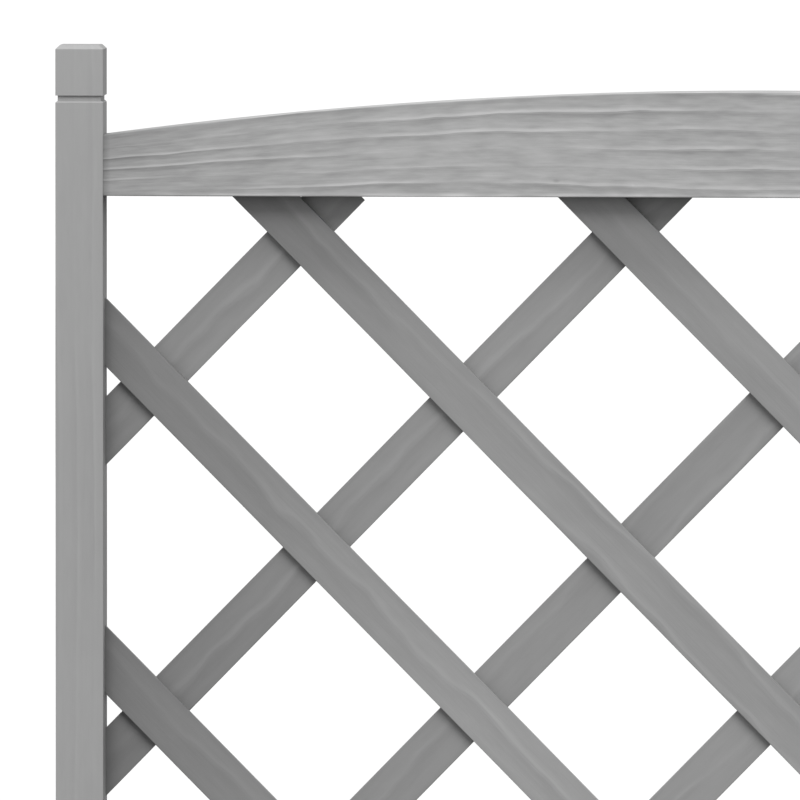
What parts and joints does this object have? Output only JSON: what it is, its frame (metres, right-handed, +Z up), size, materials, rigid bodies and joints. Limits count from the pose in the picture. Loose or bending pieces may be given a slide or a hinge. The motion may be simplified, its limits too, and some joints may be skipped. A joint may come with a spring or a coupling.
{
  "type": "planter with trellis",
  "caption": "Raised softwood planter box on corner posts, with a diagonal lattice trellis under an arched top rail between its two tall rear posts.",
  "frame": {"origin": "on the ground, under the middle of the box's footprint", "axes": "+Z up, -Y is the front that faces the viewer, +X to the viewer's right; the trellis stands along the +Y side"},
  "size_m": [0.8, 0.36, 1.4],
  "materials": {
    "post_wood": "grey stained softwood, matt, fine upright grain",
    "rail_wood": "grey stained softwood, matt, wavy lengthwise grain",
    "slat_wood": "grey stained softwood lath, matt, darker than the rails",
    "board_wood": "grey stained softwood boards, matt, lengthwise grain",
    "batten_wood": "grey stained softwood, sawn",
    "floor_wood": "grey stained softwood, sawn",
    "screw_steel": "zinc plated"
  },
  "bodies": {
    "root": {"back_batten_a": "batten_wood", "back_batten_b": "batten_wood", "back_board_1": "board_wood", "back_board_2": "board_wood", "back_board_3": "board_wood", "back_board_4": "board_wood", "batten_screws": "screw_steel", "bearer_screws": "screw_steel", "falling_slat_1": "slat_wood", "falling_slat_2": "slat_wood", "falling_slat_3": "slat_wood", "falling_slat_4": "slat_wood", "falling_slat_5": "slat_wood", "falling_slat_6": "slat_wood", "falling_slat_7": "slat_wood", "falling_slat_8": "slat_wood", "falling_slat_9": "slat_wood", "floor_slat_1": "floor_wood", "floor_slat_2": "floor_wood", "floor_slat_3": "floor_wood", "floor_slat_4": "floor_wood", "floor_slat_5": "floor_wood", "floor_slat_6": "floor_wood", "floor_slat_7": "floor_wood", "front_batten_a": "batten_wood", "front_batten_b": "batten_wood", "front_bearer": "batten_wood", "front_board_1": "board_wood", "front_board_2": "board_wood", "front_board_3": "board_wood", "front_board_4": "board_wood", "front_left_post": "post_wood", "front_right_post": "post_wood", "left_batten_a": "batten_wood", "left_batten_b": "batten_wood", "left_board_1": "board_wood", "left_board_2": "board_wood", "left_board_3": "board_wood", "left_board_4": "board_wood", "lower_rail": "rail_wood", "rail_screws": "screw_steel", "rear_bearer": "batten_wood", "rear_left_post": "post_wood", "rear_right_post": "post_wood", "right_batten_a": "batten_wood", "right_batten_b": "batten_wood", "right_board_1": "board_wood", "right_board_2": "board_wood", "right_board_3": "board_wood", "right_board_4": "board_wood", "rising_slat_1": "slat_wood", "rising_slat_2": "slat_wood", "rising_slat_3": "slat_wood", "rising_slat_4": "slat_wood", "rising_slat_5": "slat_wood", "rising_slat_6": "slat_wood", "rising_slat_7": "slat_wood", "rising_slat_8": "slat_wood", "rising_slat_9": "slat_wood", "upper_rail": "rail_wood"}
  },
  "joints": []
}
